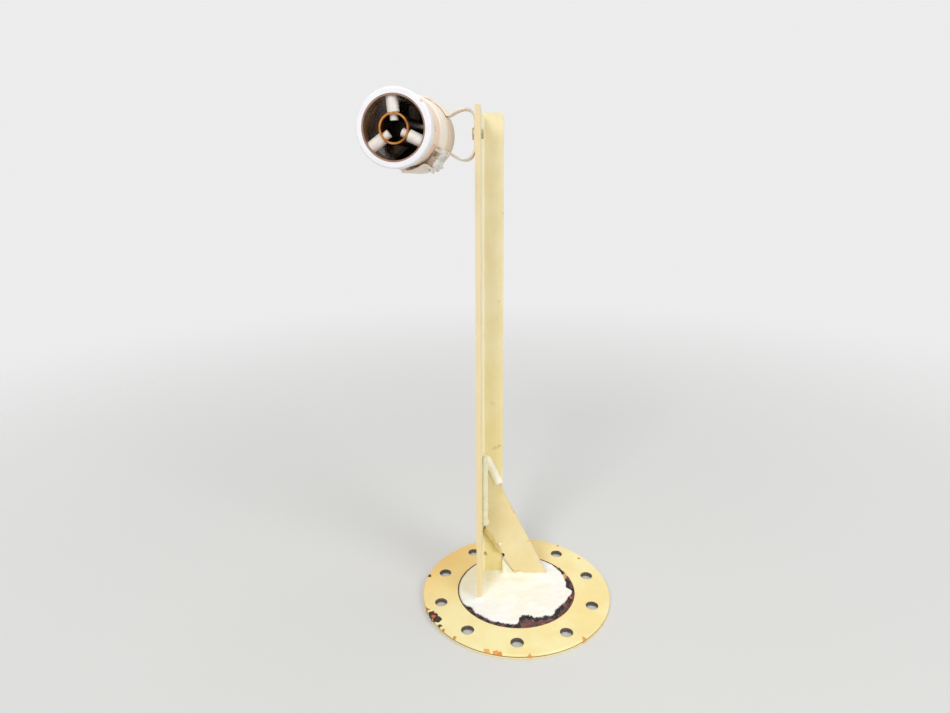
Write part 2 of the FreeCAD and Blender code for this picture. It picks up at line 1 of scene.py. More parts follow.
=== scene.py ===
"""Fuel quantity probe on its raked post: finishes, sealants and small parts.

The CAD frame keeps every rigid piece in its place. What was laid by hand or torn,
which is the sealants, and what is too fine for the frame, is modelled here. Lengths
that end in _mm are millimetres in the frame's axes, and Blender's own are metres.
"""

from __future__ import annotations

import json
import logging
import math
from dataclasses import dataclass, field
from enum import Enum
from typing import Any

import bpy
from mathutils import Matrix, Vector, noise

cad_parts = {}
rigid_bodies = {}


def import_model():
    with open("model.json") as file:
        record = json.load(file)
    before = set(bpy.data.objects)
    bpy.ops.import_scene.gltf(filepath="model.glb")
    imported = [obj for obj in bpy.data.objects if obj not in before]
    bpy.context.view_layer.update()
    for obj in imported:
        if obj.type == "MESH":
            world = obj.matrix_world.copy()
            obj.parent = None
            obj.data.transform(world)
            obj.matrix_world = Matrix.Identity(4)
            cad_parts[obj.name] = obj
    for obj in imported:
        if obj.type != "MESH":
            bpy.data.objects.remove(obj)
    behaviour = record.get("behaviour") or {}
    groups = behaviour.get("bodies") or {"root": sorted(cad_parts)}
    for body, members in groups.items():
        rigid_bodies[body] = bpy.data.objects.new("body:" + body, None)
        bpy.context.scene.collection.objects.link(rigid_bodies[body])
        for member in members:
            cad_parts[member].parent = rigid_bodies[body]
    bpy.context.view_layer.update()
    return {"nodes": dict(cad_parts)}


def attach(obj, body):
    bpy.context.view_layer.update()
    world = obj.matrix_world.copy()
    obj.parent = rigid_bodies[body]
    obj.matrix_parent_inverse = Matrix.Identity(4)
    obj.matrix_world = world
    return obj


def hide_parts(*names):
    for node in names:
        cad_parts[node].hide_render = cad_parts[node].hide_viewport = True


LOG = logging.getLogger("fuel_probe")
MM = 0.001
Socket = bpy.types.NodeSocket
Triple = tuple[float, float, float]

# Limits on a noise field, whose values lie mostly between 0.3 and 0.7.
DRIFT_BAND = (0.36, 0.66)
GLOSS_BAND = (0.3, 0.7)
STREAK_BAND = (0.5, 0.8)
SPECK_BAND = (0.735, 0.77)
HOLLOW_BAND = (0.52, 0.78)
CRUST_BAND = (0.53, 0.42)

# Patches of gloss are this share of the drift's length.
GLOSS_SHARE = 0.4

# How far a mark's ragged edge swings, as a share of its size, and its coarsest grain.
RAGGED_SWING = 3.0
RAGGED_GRAIN_MM = 2.5


class Grain(Enum):
    """Which way a surface's fine relief runs, as a scale on each axis."""

    EVEN = (1.0, 1.0, 1.0)
    UPRIGHT = (1.0, 1.0, 0.05)
    ALONG_PROBE = (1.0, 0.06, 1.0)


def linear(tone: str) -> tuple[float, float, float, float]:
    """Turn an sRGB hex colour into Blender's linear one.

    Args:
        tone: Six hex digits after a hash sign.

    Returns:
        Red, green, blue and an alpha of one.
    """
    values = []
    for start in (1, 3, 5):
        part = int(tone[start : start + 2], 16) / 255
        values.append(part / 12.92 if part <= 0.04045 else ((part + 0.055) / 1.055) ** 2.4)
    return values[0], values[1], values[2], 1.0


def per_mm(size_mm: float) -> float:
    """Return the texture scale at which one pattern cell is size_mm long."""
    return 1 / (size_mm * MM)


def metres(point_mm: Triple) -> Vector:
    """Return a point given in millimetres as a vector in metres."""
    return Vector(point_mm) * MM


def add_node(
    tree: bpy.types.NodeTree,
    kind: str,
    settings: dict[str | int, Any] | None = None,
    links: dict[str | int, Socket] | None = None,
) -> bpy.types.Node:
    """Add one shader node with its settings and links.

    Args:
        tree: The material's node tree.
        kind: Blender's type name of the node.
        settings: Values by attribute name, or by an input's name or number.
        links: The sockets that feed the node, by an input's name or number.

    Returns:
        The new node.
    """
    node = tree.nodes.new(kind)
    for key, value in (settings or {}).items():
        if isinstance(key, str) and hasattr(node, key):
            setattr(node, key, value)
        else:
            node.inputs[key].default_value = value
    for key, socket in (links or {}).items():
        tree.links.new(socket, node.inputs[key])
    return node


@dataclass(frozen=True)
class ProbeAxis:
    """The probe's own line, from the middle of its mouth towards its rear."""

    mouth_mm: Triple = (-50.65, -20.0, 226.95)
    yaw_deg: float = 5.6
    dip_deg: float = 1.8

    def direction(self) -> Vector:
        """Return the unit vector from the mouth to the rear."""
        yaw, dip = math.radians(self.yaw_deg), math.radians(self.dip_deg)
        return Vector(
            (math.sin(yaw) * math.cos(dip), math.cos(yaw) * math.cos(dip), -math.sin(dip))
        )

    def turn(self) -> Matrix:
        """Return the rotation that lays the Y axis along the probe."""
        yaw = Matrix.Rotation(-math.radians(self.yaw_deg), 3, "Z")
        return yaw @ Matrix.Rotation(-math.radians(self.dip_deg), 3, "X")

    def point(self, radius_mm: float, degrees: float, along_mm: float) -> Vector:
        """Return a point in metres.

        Args:
            radius_mm: Distance from the probe's line.
            degrees: Turn about it, from the side of the post upwards.
            along_mm: Distance behind the mouth.

        Returns:
            The point in the frame.
        """
        angle = math.radians(degrees)
        local = Vector((radius_mm * math.cos(angle), along_mm, radius_mm * math.sin(angle)))
        return metres(self.mouth_mm) + self.turn() @ local * MM


AXIS = ProbeAxis()


def on_probe(radius_mm: float, degrees: float, along_mm: float) -> Triple:
    """Find a point on the probe.

    Args:
        radius_mm: Distance from the probe's line.
        degrees: Turn about it, from the side of the post upwards.
        along_mm: Distance behind the mouth.

    Returns:
        The point in the frame's millimetres.
    """
    spot = AXIS.point(radius_mm, degrees, along_mm) / MM
    return spot.x, spot.y, spot.z


# The coat's torn outline: degrees about the flange, and the radius in millimetres.
TEAR = (
    (-153.0, 29.0),
    (-146.0, 26.9),
    (-137.0, 27.9),
    (-127.0, 27.3),
    (-118.0, 27.6),
    (-108.0, 27.0),
    (-98.0, 27.1),
    (-89.0, 26.6),
    (-85.5, 21.4),
    (-80.0, 20.4),
    (-74.0, 21.0),
    (-67.0, 23.6),
    (-58.0, 24.6),
    (-48.0, 26.4),
    (-40.0, 25.2),
    (-31.5, 25.4),
    (-16.0, 26.7),
    (-2.0, 28.9),
    (4.0, 26.2),
    (14.0, 27.0),
    (32.0, 28.4),
    (48.0, 29.3),
)


# Where the deep leg, the narrow leg and the gusset stand: low x, low y, high x, high y.
FOOT_WALLS = (
    (-19.85, -9.9, -17.45, 15.7),
    (-17.45, 13.1, -7.15, 15.7),
    (-7.15, 10.8, 17.0, 13.6),
)


@dataclass(frozen=True)
class Mark:
    """A chip, scrape, stain or rubbed line.

    A scale of zero on an axis makes the mark run along that axis.
    """

    centre_mm: Triple
    reach_mm: float
    tone: str
    ragged: float = 0.6
    scale: Triple = (1.0, 1.0, 1.0)
    soft: float = 0.08
    strength: float = 1.0


@dataclass(frozen=True)
class Zone:
    """A slow change of tone along one direction."""

    tone: str
    start_mm: float
    end_mm: float
    towards: Triple
    origin_mm: Triple = (0.0, 0.0, 0.0)
    strength: float = 1.0


@dataclass(frozen=True)
class Finish:
    """One real surface: its colours, gloss and fine relief."""

    name: str
    tone: str
    second_tone: str
    drift_mm: float = 14.0
    grain_mm: float = 0.7
    relief_mm: float = 0.03
    grain: Grain = Grain.EVEN
    roughness: float = 0.5
    swing: float = 0.08
    metallic: float = 0.0
    translucence: float = 0.0
    depth_mm: float = 1.0
    zones: tuple[Zone, ...] = ()
    marks: tuple[Mark, ...] = ()

    def build(self) -> bpy.types.Material:
        """Return the finish as a Blender material."""
        material = bpy.data.materials.new(self.name)
        material.use_nodes = True
        tree = material.node_tree
        shader = tree.nodes["Principled BSDF"]
        shader.inputs["Metallic"].default_value = self.metallic
        shader.inputs["Subsurface Weight"].default_value = self.translucence
        shader.inputs["Subsurface Scale"].default_value = self.depth_mm * MM
        place = add_node(tree, "ShaderNodeTexCoord").outputs["Object"]
        tree.links.new(self.colour(tree, place), shader.inputs["Base Color"])
        tree.links.new(self.gloss(tree, place), shader.inputs["Roughness"])
        tree.links.new(self.relief(tree, place), shader.inputs["Normal"])
        return material

    def colour(self, tree: bpy.types.NodeTree, place: Socket) -> Socket:
        """Return the base colour, with its drift, zones, wear and marks.

        Args:
            tree: The material's node tree.
            place: The object coordinate.

        Returns:
            The socket that holds the colour.
        """
        drift = add_node(
            tree,
            "ShaderNodeTexNoise",
            {"Scale": per_mm(self.drift_mm), "Detail": 5.0, "Roughness": 0.6},
            {"Vector": place},
        )
        share = add_node(
            tree,
            "ShaderNodeMapRange",
            {
                "interpolation_type": "SMOOTHSTEP",
                "From Min": DRIFT_BAND[0],
                "From Max": DRIFT_BAND[1],
            },
            {"Value": drift.outputs[0]},
        )
        tones = {"data_type": "RGBA", 6: linear(self.tone), 7: linear(self.second_tone)}
        shaded = add_node(tree, "ShaderNodeMix", tones, {0: share.outputs[0]}).outputs[2]
        for zone in self.zones:
            shaded = self.zoned(tree, place, shaded, zone)
        shaded = self.worn(tree, place, shaded)
        for mark in self.marks:
            shaded = self.marked(tree, place, shaded, mark)
        return shaded

    def worn(self, tree: bpy.types.NodeTree, place: Socket, base: Socket) -> Socket:
        """Return the colour with the finish's own wear; a plain one has none."""
        return base

    def zoned(
        self, tree: bpy.types.NodeTree, place: Socket, base: Socket, zone: Zone
    ) -> Socket:
        """Lay one zone's tone over the colour, more and more along its direction.

        Args:
            tree: The material's node tree.
            place: The object coordinate.
            base: The colour so far.
            zone: The zone's tone, limits and direction.

        Returns:
            The colour with the zone on it.
        """
        away = add_node(
            tree,
            "ShaderNodeVectorMath",
            {"operation": "SUBTRACT", 1: metres(zone.origin_mm)},
            {0: place},
        )
        along = add_node(
            tree,
            "ShaderNodeVectorMath",
            {"operation": "DOT_PRODUCT", 1: Vector(zone.towards)},
            {0: away.outputs[0]},
        )
        limits = {
            "From Min": zone.start_mm * MM,
            "From Max": zone.end_mm * MM,
            "To Max": zone.strength,
        }
        share = add_node(tree, "ShaderNodeMapRange", limits, {"Value": along.outputs[1]})
        tones = {"data_type": "RGBA", 7: linear(zone.tone)}
        return add_node(tree, "ShaderNodeMix", tones, {0: share.outputs[0], 6: base}).outputs[2]

    def marked(
        self, tree: bpy.types.NodeTree, place: Socket, base: Socket, mark: Mark
    ) -> Socket:
        """Lay one ragged mark over the colour.

        Args:
            tree: The material's node tree.
            place: The object coordinate.
            base: The colour so far.
            mark: The mark's place, size and colour.

        Returns:
            The colour with the mark on it.
        """
        size = mark.reach_mm * MM
        swing = size * mark.ragged * RAGGED_SWING
        ragged = add_node(
            tree,
            "ShaderNodeTexNoise",
            {"Scale": per_mm(min(mark.reach_mm, RAGGED_GRAIN_MM)), "Detail": 4.0},
            {"Vector": place},
        )
        shift = add_node(
            tree,
            "ShaderNodeMath",
            {"operation": "MULTIPLY_ADD", 1: swing, 2: -swing / 2},
            {0: ragged.outputs[0]},
        )
        laid = add_node(
            tree, "ShaderNodeVectorMath", {"operation": "MULTIPLY", 1: mark.scale}, {0: place}
        )
        centre = Vector(a * b * MM for a, b in zip(mark.centre_mm, mark.scale))
        distance = add_node(
            tree,
            "ShaderNodeVectorMath",
            {"operation": "DISTANCE", 1: centre},
            {0: laid.outputs[0]},
        )
        edge = add_node(
            tree,
            "ShaderNodeMath",
            {"operation": "ADD"},
            {0: distance.outputs[1], 1: shift.outputs[0]},
        )
        limits = {
            "From Min": size * (1 + mark.soft),
            "From Max": size * (1 - mark.soft),
            "To Max": mark.strength,
        }
        cover = add_node(tree, "ShaderNodeMapRange", limits, {"Value": edge.outputs[0]})
        tones = {"data_type": "RGBA", 7: linear(mark.tone)}
        return add_node(tree, "ShaderNodeMix", tones, {0: cover.outputs[0], 6: base}).outputs[2]

    def gloss(self, tree: bpy.types.NodeTree, place: Socket) -> Socket:
        """Return the roughness, which handling has made uneven.

        Args:
            tree: The material's node tree.
            place: The object coordinate.

        Returns:
            The socket that holds the roughness.
        """
        patches = add_node(
            tree,
            "ShaderNodeTexNoise",
            {"Scale": per_mm(self.drift_mm * GLOSS_SHARE), "Detail": 3.0},
            {"Vector": place},
        )
        spread = {
            "From Min": GLOSS_BAND[0],
            "From Max": GLOSS_BAND[1],
            "To Min": self.roughness - self.swing,
            "To Max": self.roughness + self.swing,
        }
        return add_node(
            tree, "ShaderNodeMapRange", spread, {"Value": patches.outputs[0]}
        ).outputs[0]

    def relief(self, tree: bpy.types.NodeTree, place: Socket) -> Socket:
        """Return the normal, bumped by the surface's fine grain.

        Args:
            tree: The material's node tree.
            place: The object coordinate.

        Returns:
            The socket that holds the normal.
        """
        laid = add_node(
            tree, "ShaderNodeMapping", {"Scale": self.grain.value}, {"Vector": place}
        )
        grain = add_node(
            tree,
            "ShaderNodeTexNoise",
            {"Scale": per_mm(self.grain_mm), "Detail": 3.0},
            {"Vector": laid.outputs[0]},
        )
        return add_node(
            tree,
            "ShaderNodeBump",
            {"Strength": 1.0, "Distance": self.relief_mm * MM},
            {"Height": grain.outputs[0]},
        ).outputs[0]


@dataclass(frozen=True)
class WornPrimer(Finish):
    """Sprayed primer that handling has streaked, specked and rubbed."""

    streak_tone: str = "#CFAE74"
    streak_mm: float = 1.4
    streak_share: float = 0.25
    speck_tone: str = "#6B4A2A"
    speck_mm: float = 1.6

    def worn(self, tree: bpy.types.NodeTree, place: Socket, base: Socket) -> Socket:
        """Lay the rubbed streaks and the fine specks over the primer.

        Args:
            tree: The material's node tree.
            place: The object coordinate.
            base: The colour so far.

        Returns:
            The colour with the wear on it.
        """
        laid = add_node(
            tree, "ShaderNodeMapping", {"Scale": self.grain.value}, {"Vector": place}
        )
        streaks = add_node(
            tree,
            "ShaderNodeTexNoise",
            {"Scale": per_mm(self.streak_mm), "Detail": 4.0},
            {"Vector": laid.outputs[0]},
        )
        rubbed = add_node(
            tree,
            "ShaderNodeMapRange",
            {
                "From Min": STREAK_BAND[0],
                "From Max": STREAK_BAND[1],
                "To Max": self.streak_share,
            },
            {"Value": streaks.outputs[0]},
        )
        tones = {"data_type": "RGBA", 7: linear(self.streak_tone)}
        worn = add_node(tree, "ShaderNodeMix", tones, {0: rubbed.outputs[0], 6: base})
        dust = add_node(
            tree,
            "ShaderNodeTexNoise",
            {"Scale": per_mm(self.speck_mm), "Detail": 6.0, "Roughness": 0.7},
            {"Vector": place},
        )
        specks = add_node(
            tree,
            "ShaderNodeMapRange",
            {"From Min": SPECK_BAND[0], "From Max": SPECK_BAND[1]},
            {"Value": dust.outputs[0]},
        )
        tones = {"data_type": "RGBA", 7: linear(self.speck_tone)}
        return add_node(
            tree, "ShaderNodeMix", tones, {0: specks.outputs[0], 6: worn.outputs[2]}
        ).outputs[2]


@dataclass(frozen=True)
class CuredSealant(Finish):
    """Thick sealant that skinned over as it cured, with dirt in its hollows."""

    hollow_tone: str = "#C9BC96"
    hollow_share: float = 0.35
    lump_mm: float = 3.0
    crust_tone: str = "#14100F"
    crust_share: float = 0.0

    def worn(self, tree: bpy.types.NodeTree, place: Socket, base: Socket) -> Socket:
        """Darken the hollows between the lumps, and the crust where there is one.

        Args:
            tree: The material's node tree.
            place: The object coordinate.
            base: The colour so far.

        Returns:
            The colour with the dirt and the crust on it.
        """
        lumps = add_node(
            tree,
            "ShaderNodeTexNoise",
            {"Scale": per_mm(self.lump_mm), "Detail": 3.0},
            {"Vector": place},
        )
        share = add_node(
            tree,
            "ShaderNodeMapRange",
            {
                "From Min": HOLLOW_BAND[0],
                "From Max": HOLLOW_BAND[1],
                "To Max": self.hollow_share,
            },
            {"Value": lumps.outputs[0]},
        )
        tones = {"data_type": "RGBA", 7: linear(self.hollow_tone)}
        dirty = add_node(tree, "ShaderNodeMix", tones, {0: share.outputs[0], 6: base})
        cover = add_node(
            tree,
            "ShaderNodeMapRange",
            {
                "From Min": CRUST_BAND[0],
                "From Max": CRUST_BAND[1],
                "To Max": self.crust_share,
            },
            {"Value": lumps.outputs[0]},
        )
        tones = {"data_type": "RGBA", 7: linear(self.crust_tone)}
        return add_node(
            tree, "ShaderNodeMix", tones, {0: cover.outputs[0], 6: dirty.outputs[2]}
        ).outputs[2]


# The flange's bolt holes: the reach is their radius and a thin ring round it, painted grey with
# the walls.
BOLT_HOLES = 10
FIRST_HOLE_DEG = -90.0
BOLT_CIRCLE_MM = 39.5
HOLE_REACH_MM = 3.12

# The crust's middle line lies outside the coat's torn edge and over the plate.
CRUST_OUT_MM = 0.7
CRUST_HEIGHT_MM = 1.9
CRUST_REACH_MM = 1.9


def hole_walls_and_shade() -> tuple[Mark, ...]:
    """Return the grey in the flange's ten bolt holes: bare metal in their walls, darkened as
    painted shade.
    """
    spots = []
    for index in range(BOLT_HOLES):
        angle = math.radians(FIRST_HOLE_DEG + index * 360 / BOLT_HOLES)
        centre = (BOLT_CIRCLE_MM * math.cos(angle), BOLT_CIRCLE_MM * math.sin(angle), 0.0)
        spots.append(Mark(centre, HOLE_REACH_MM, "#6E675E", 0.05, (1.0, 1.0, 0.0), 0.02))
    return tuple(spots)


# Zinc primer sprayed on the flange: a soft satin yellow that reads almost chalky.
FLANGE_PRIMER = WornPrimer(
    name="flange_primer",
    tone="#FBEFB4",
    second_tone="#F7E29C",
    drift_mm=26.0,
    grain_mm=0.5,
    relief_mm=0.012,
    roughness=0.46,
    streak_tone="#E8BE72",
    streak_mm=9.0,
    streak_share=0.22,
    speck_tone="#A2683A",
    # This zone is painted shade: deeper orange-yellow towards the back left.
    zones=(Zone("#F3C872", 2.0, 44.0, (-0.64, 0.77, 0.0), strength=0.85),),
    marks=(
        *hole_walls_and_shade(),
        Mark((0.0, 0.0, 1.12), 0.2, "#5A3A20", 0.5, (0.0, 0.0, 1.0), 0.3),
        Mark((-41.7, -21.2, 2.3), 1.9, "#2A120C"),
        Mark((-40.1, -22.6, 2.3), 2.3, "#2A120C"),
        Mark((-38.4, -25.1, 2.3), 2.0, "#2A120C"),
        Mark((-40.4, -22.9, 2.3), 1.1, "#D9531E"),
        Mark((-36.6, -29.6, 2.3), 1.1, "#5A2A1C"),
        Mark((-34.8, -32.4, 2.3), 0.9, "#C7722E"),
        Mark((-45.9, 9.2, 2.3), 1.2, "#4A2418"),
        Mark((-46.8, 12.6, 1.6), 1.0, "#C7722E"),
        Mark((24.9, 40.4, 2.3), 1.0, "#B9672E"),
        Mark((-13.7, -45.6, 2.3), 1.5, "#F0A94E", 0.9),
        Mark((-10.1, -46.4, 2.3), 1.3, "#E9983E", 0.9),
        Mark((-7.8, -46.8, 2.0), 1.2, "#E08A34", 0.9),
        Mark((-29.0, -37.2, 2.0), 0.9, "#D98B3C"),
        # On the wrong side: this chip was read at x = -35.3.
        Mark((35.3, 27.9, 2.3), 0.8, "#D98B3C"),
        # The next three are guessed.
        Mark((6.0, -47.6, 1.4), 1.2, "#DB9A4C", 0.9),
        Mark((31.0, -36.0, 1.4), 1.3, "#DB9A4C", 0.9),
        Mark((-44.0, -17.5, 1.2), 1.6, "#B8642C", 0.9),
    ),
)

# Square to the raked post's front edge, towards the rear.
BACK_FROM_EDGE = (0.0, 0.99588, -0.09063)

# A black spot of painted shade where a small hole opens between the gusset, the wedge and the edge
# run.
HOLE_SHADE_MARK = Mark((-7.0, 12.6, 13.7), 1.15, "#120E0C", 0.12)

# The same primer on the extrusion, thinner, so the die's upright lines show through.
POST_PRIMER = WornPrimer(
    name="post_primer",
    tone="#F3E8C0",
    second_tone="#EDDFAE",
    drift_mm=20.0,
    grain_mm=0.8,
    relief_mm=0.01,
    grain=Grain.UPRIGHT,
    roughness=0.46,
    streak_tone="#DCC08A",
    streak_mm=1.9,
    streak_share=0.16,
    speck_tone="#7A5A3A",
    zones=(
        Zone("#F6E58E", 150.0, 30.0, (0.0, 0.0, 1.0), strength=0.5),
        Zone("#E6CDA0", -9.3, -9.8, BACK_FROM_EDGE, strength=0.6),
    ),
    marks=(
        # A painted highlight: a whitish line down the narrow leg's front, along the inner corner.
        Mark((-17.0, 0.0, 0.0), 0.42, "#FBF6E4", 0.15, (1.0, 0.0, 0.0), 0.4, 0.7),
        Mark((-11.1, 19.6, 72.4), 1.1, "#CDBF9C", 0.9, soft=0.4, strength=0.6),
        Mark((-9.1, 19.7, 73.5), 0.8, "#C4B08A", 0.9, soft=0.4, strength=0.6),
        Mark((-16.3, 14.2, 13.4), 1.0, "#8A6A44", 0.7, strength=0.7),
        # The next three are guessed.
        Mark((-12.5, 21.0, 96.0), 1.1, "#D8BA8A", 1.0, strength=0.4, soft=0.4),
        Mark((-9.4, 26.5, 148.0), 0.9, "#D5B482", 1.0, strength=0.4, soft=0.4),
        Mark((-7.3, 30.0, 190.0), 0.8, "#CFA676", 1.0, strength=0.5, soft=0.4),
    ),
)

# The same primer on the flat gusset, rubbed to orange at its long edge.
GUSSET_PRIMER = WornPrimer(
    name="gusset_primer",
    tone="#EADCAE",
    second_tone="#E4D29C",
    drift_mm=16.0,
    grain_mm=0.7,
    relief_mm=0.012,
    roughness=0.46,
    streak_tone="#DDB97A",
    streak_mm=5.0,
    streak_share=0.2,
    speck_tone="#8A5C34",
    marks=(
        Mark((-1.1, 14.8, 38.2), 0.8, "#DDA664", 0.8, strength=0.7),
        Mark((-2.4, 15.0, 40.6), 0.8, "#E3B274", 0.8, strength=0.7),
        Mark((6.4, 13.4, 22.0), 0.7, "#DDB070", 0.8, strength=0.6),
        HOLE_SHADE_MARK,
    ),
)


def torn_crust() -> tuple[Mark, ...]:
    """Return the glossy black crust along the coat's torn edge."""
    spots = []
    for degrees, radius_mm in TEAR:
        angle = math.radians(degrees)
        out_mm = radius_mm + CRUST_OUT_MM
        centre = (out_mm * math.cos(angle), out_mm * math.sin(angle), CRUST_HEIGHT_MM)
        spots.append(Mark(centre, CRUST_REACH_MM, "#0C090A", 0.45))
    return tuple(spots)


# Red-brown sealant between the discs: glossy black where it tore, with rusty specks.
BOND_SEALANT = CuredSealant(
    name="bond_sealant",
    tone="#7A4A48",
    second_tone="#4E2C2A",
    drift_mm=3.2,
    grain_mm=0.5,
    relief_mm=0.12,
    roughness=0.34,
    swing=0.18,
    hollow_tone="#B8603C",
    hollow_share=0.2,
    lump_mm=2.6,
    crust_share=0.3,
    marks=(
        *torn_crust(),
        Mark((3.0, -28.8, 1.6), 0.9, "#D9622E", 0.8),
        Mark((13.1, -25.7, 1.6), 1.0, "#C9582C", 0.8),
        Mark((27.8, -5.8, 1.6), 0.8, "#C9582C", 0.8),
        Mark((21.1, -21.1, 1.6), 0.9, "#D0602E", 0.8),
        Mark((25.8, 12.0, 1.6), 1.6, "#F0B078", 0.8),
        # This speck is guessed.
        Mark((8.0, -23.4, 1.6), 0.6, "#B04E2A", 0.8),
    ),
)

# White coat poured over the plate: soft satin skin with shallow trowel swirls.
WHITE_SEALANT = CuredSealant(
    name="white_sealant",
    tone="#FEFDF8",
    second_tone="#FAF6EA",
    drift_mm=9.0,
    grain_mm=1.6,
    relief_mm=0.07,
    roughness=0.5,
    translucence=0.08,
    depth_mm=0.6,
    hollow_tone="#EFE6CC",
    hollow_share=0.25,
    lump_mm=7.0,
    # This zone is painted shade: darker and yellower towards the back left, near the post.
    zones=(Zone("#EFE3B4", 10.0, 26.0, (-0.74, 0.67, 0.0), strength=0.7),),
)

# The same sealant laid by the nozzle along the gusset's top.
RUN_SEALANT = CuredSealant(
    name="run_sealant",
    tone="#FBF8EA",
    second_tone="#F3ECD4",
    drift_mm=5.0,
    grain_mm=1.2,
    relief_mm=0.05,
    roughness=0.45,
    translucence=0.06,
    depth_mm=0.6,
    hollow_tone="#D9CCA4",
    marks=(Mark((-8.3, 15.6, 53.8), 0.9, "#E6B9A4", 0.6),),
)

# The same sealant smeared flat in the corner and at the foot, greener with age.
SMEARED_SEALANT = CuredSealant(
    name="smeared_sealant",
    tone="#F4F1D8",
    second_tone="#EAE5C6",
    drift_mm=6.0,
    grain_mm=1.4,
    relief_mm=0.05,
    roughness=0.42,
    translucence=0.05,
    depth_mm=0.5,
    hollow_tone="#DAD2AA",
    marks=(HOLE_SHADE_MARK,),
)

# Olive run on the gusset's cut edge: partly its own olive colour, partly painted shade under the
# gusset's edge.
OLIVE_AND_SHADE_SEALANT = CuredSealant(
    name="olive_sealant",
    tone="#DCC680",
    second_tone="#C9B064",
    drift_mm=4.0,
    grain_mm=1.0,
    relief_mm=0.05,
    roughness=0.4,
    hollow_tone="#9C8748",
    hollow_share=0.5,
)

# Enamelled housing: a cool white collar, a peach neck, a cream body and a darker tan rear; the
# neck's peach is partly the enamel's tone, partly painted shade in its recess.
SLEEVE_ENAMEL = Finish(
    name="sleeve_enamel",
    tone="#F6F5F7",
    second_tone="#F0EEF2",
    drift_mm=8.0,
    grain_mm=0.9,
    relief_mm=0.02,
    roughness=0.4,
    zones=tuple(
        Zone(tone, start, end, tuple(AXIS.direction()), AXIS.mouth_mm)
        for tone, start, end in (
            ("#F7DDC6", 4.7, 5.6),
            ("#FBF4E8", 19.5, 20.4),
            ("#EAD8C2", 30.0, 37.2),
        )
    ),
    marks=(
        Mark((-35.2, -14.4, 228.9), 0.55, "#8A6C60", 0.9, strength=0.7),
        Mark((-34.9, -12.3, 227.5), 0.6, "#7C6054", 0.9, strength=0.7),
        Mark((-34.8, -11.5, 226.4), 0.5, "#5C463E", 0.9, strength=0.8),
        Mark((-35.8, -9.3, 220.7), 0.7, "#9A8478", 0.9, strength=0.7),
        # Meant for the dark slot underneath, which they don't match; they also paint shade on the
        # sleeve's underside.
        Mark(on_probe(15.2, -76.0, 9.0), 1.5, "#5A544E", 0.4),
        Mark(on_probe(15.1, -73.5, 12.5), 1.6, "#4E4844", 0.4),
        Mark(on_probe(15.2, -70.5, 16.5), 1.5, "#5A544E", 0.4),
        # The next two are guessed.
        Mark(on_probe(15.4, 120.0, 1.0), 0.8, "#B08A6A", 0.9, strength=0.6),
        Mark(on_probe(15.4, 40.0, 0.4), 0.7, "#A8866A", 0.9, strength=0.6),
    ),
)

# Thin steel strap under brushed enamel, streaked and specked by handling.
STRAP_ENAMEL = WornPrimer(
    name="strap_enamel",
    tone="#F3E9DC",
    second_tone="#E8DAC8",
    drift_mm=6.0,
    grain_mm=0.6,
    relief_mm=0.02,
    roughness=0.4,
    streak_tone="#B89C84",
    streak_mm=2.2,
    streak_share=0.22,
    speck_tone="#5E463A",
    marks=(
        # Painted shade: three dark marks in a row on the strap's underside, for the shade in a
        # slot there.
        Mark((-49.6, 17.6, 209.9), 1.0, "#4A443E", 0.3),
        Mark((-47.5, 17.4, 210.0), 1.0, "#4A443E", 0.3),
        Mark((-45.2, 17.1, 210.2), 1.0, "#4A443E", 0.3),
    ),
)

# Dark bronze liner, drawn lengthwise, smooth enough to mirror the pins.
BRONZE = Finish(
    name="drawn_bronze",
    tone="#B48C58",
    second_tone="#7E5C34",
    drift_mm=7.0,
    grain_mm=0.5,
    relief_mm=0.02,
    grain=Grain.ALONG_PROBE,
    roughness=0.24,
    metallic=0.5,
    # The zone paints light near the mouth: a paler, pinker wall there.
    zones=(
        Zone("#B08A7C", 7.0, 0.0, tuple(AXIS.direction()), AXIS.mouth_mm, 0.75),
    ),
    # Painted highlights: a row of gold glints on the upper left wall, and a pale painted
    # reflection on the lower left wall.
    marks=(
        Mark(on_probe(12.3, 135.0, 7.2), 0.9, "#FFF0C8", 0.1, soft=0.3),
        Mark(on_probe(12.3, 139.5, 7.8), 1.0, "#FFF0C8", 0.1, soft=0.3),
        Mark(on_probe(12.3, 144.0, 8.4), 1.0, "#FFE8B0", 0.1, soft=0.3),
        Mark(on_probe(12.3, 148.5, 9.0), 0.9, "#FFDE90", 0.1, soft=0.3),
        Mark((-57.0, -5.9, 216.9), 2.2, "#D8D2CC", 0.5, soft=0.4, strength=0.8),
    ),
)

# Copper-coloured inner tube, bright at its end and dark brown from a few millimetres behind it.
COPPER = Finish(
    name="turned_copper",
    tone="#CE8E48",
    second_tone="#A4682F",
    drift_mm=3.0,
    grain_mm=0.3,
    relief_mm=0.01,
    roughness=0.32,
    metallic=0.9,
    zones=(
        Zone("#4A2E18", 0.4, 3.0, tuple(AXIS.direction()), on_probe(0, 0, 0.8), 0.85),
    ),
)

# Natural nylon pins: light passes a little way in and softens their shading.
PIN_NYLON = Finish(
    name="natural_nylon",
    tone="#F1EDE6",
    second_tone="#E4DCD2",
    drift_mm=3.0,
    grain_mm=0.4,
    relief_mm=0.02,
    roughness=0.36,
    translucence=0.35,
    depth_mm=0.8,
)

# Moulded phenolic rear cap, dark and nearly matte.
CAP_PLASTIC = Finish(
    name="moulded_phenolic",
    tone="#2E2620",
    second_tone="#221B17",
    drift_mm=6.0,
    grain_mm=0.25,
    relief_mm=0.015,
    roughness=0.5,
)

# Plated steel fasteners, dulled.
PLATED_STEEL = Finish(
    name="plated_steel",
    tone="#EDECEA",
    second_tone="#CBC7C0",
    drift_mm=1.8,
    grain_mm=0.25,
    relief_mm=0.015,
    roughness=0.3,
    metallic=0.85,
)

